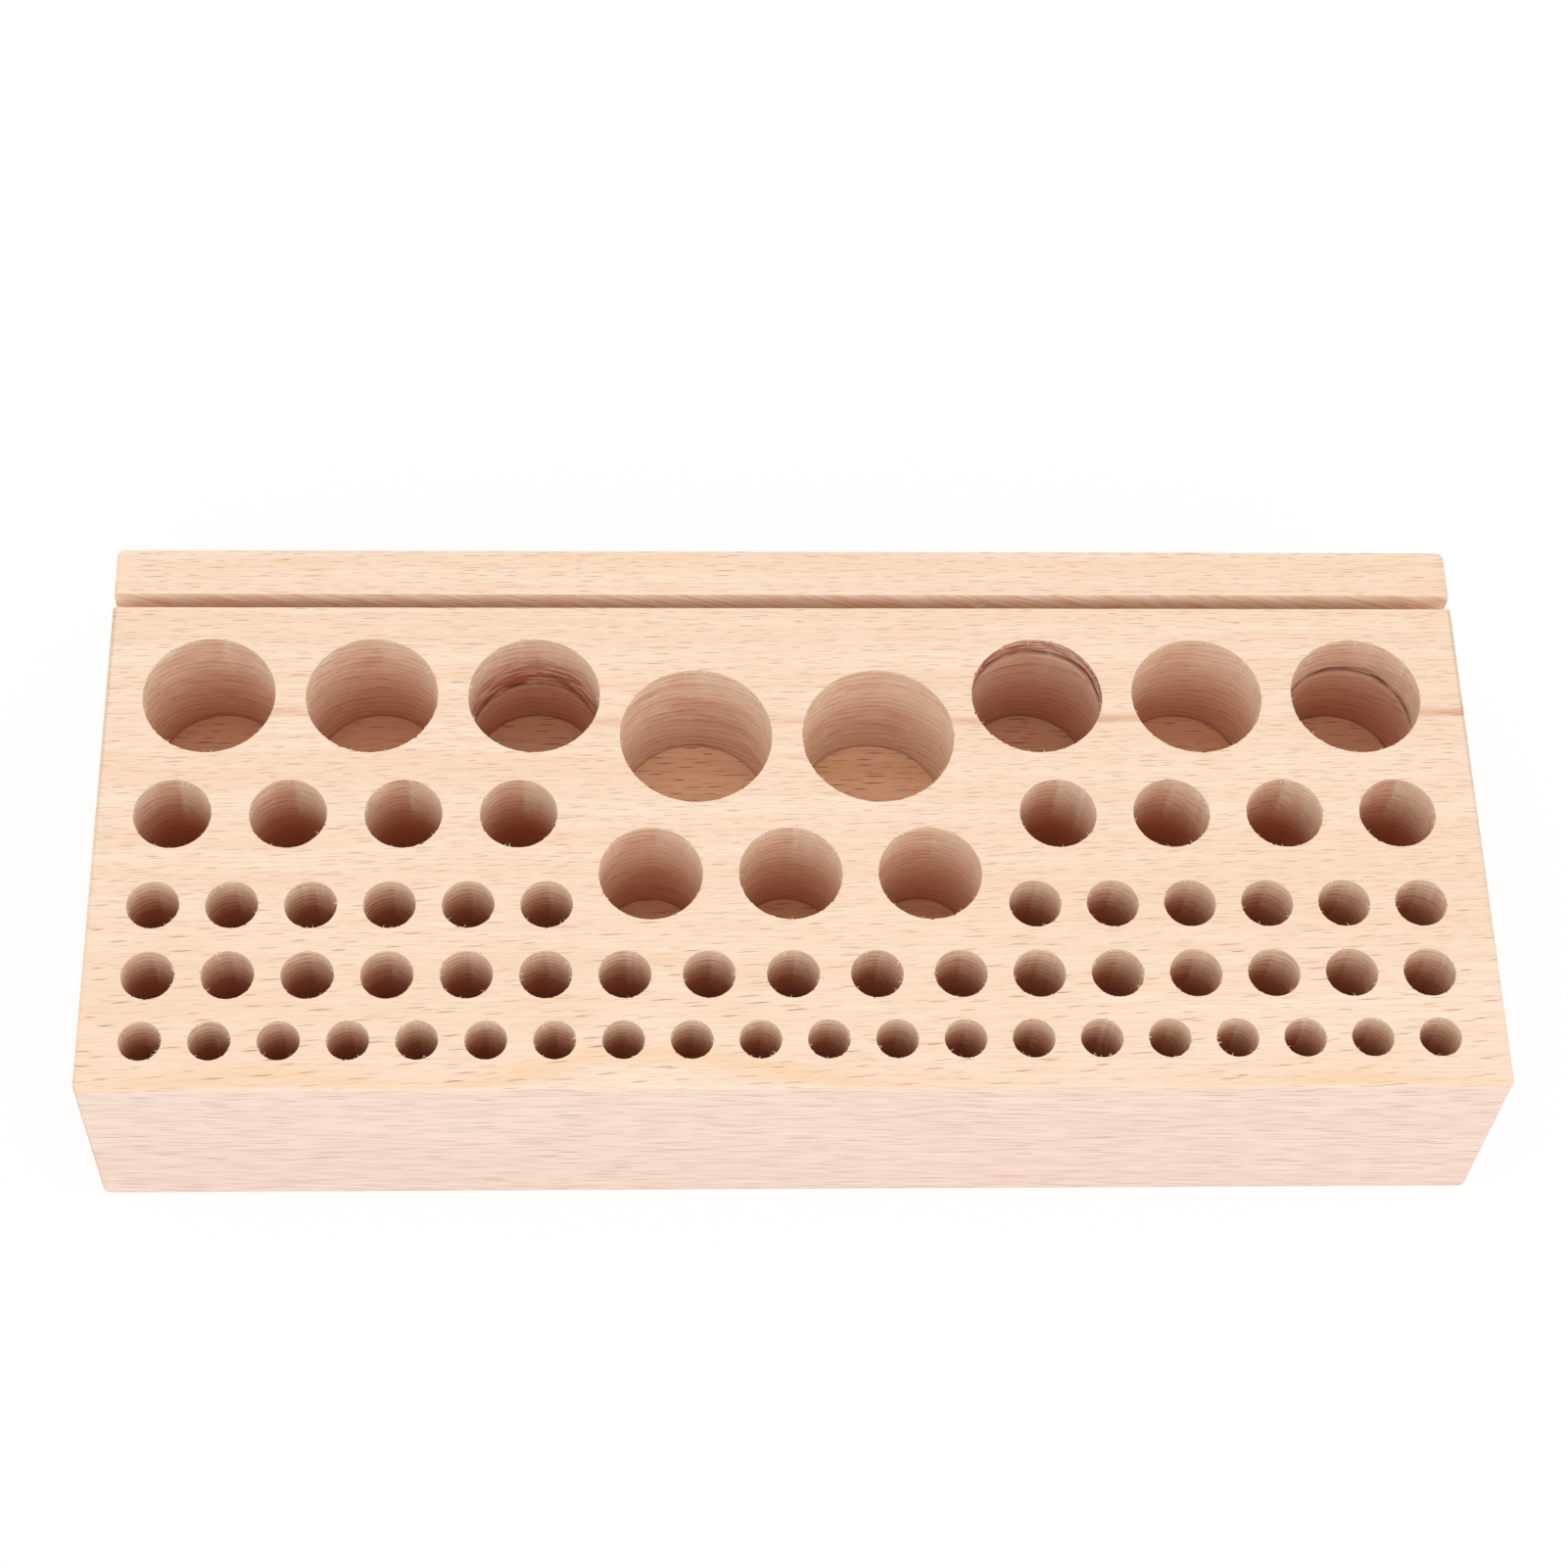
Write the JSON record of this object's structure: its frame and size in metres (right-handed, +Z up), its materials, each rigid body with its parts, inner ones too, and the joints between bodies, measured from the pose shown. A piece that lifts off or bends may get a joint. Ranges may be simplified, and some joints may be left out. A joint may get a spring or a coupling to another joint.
{
  "type": "tool block",
  "caption": "Solid beech block that stands on a bench and holds hobby tools upright in rows of blind holes, with a saw kerf along its back for flat tools.",
  "frame": {"origin": "middle of the underside, on the surface that the block stands on", "axes": "+X along the block's length, +Y from the front with the finest holes to the back with the kerf, +Z up"},
  "size_m": [0.27, 0.12, 0.048],
  "materials": {
    "beech": "bare sanded beech"
  },
  "bodies": {
    "root": {"file_section": "beech", "front_pencil_section": "beech", "left_pencil_section": "beech", "right_pencil_section": "beech", "left_knife_section": "beech", "right_knife_section": "beech", "left_plier_section": "beech", "right_plier_section": "beech", "marker_section": "beech", "bottle_section": "beech", "kerf_floor": "beech", "back_strip": "beech"}
  },
  "joints": []
}
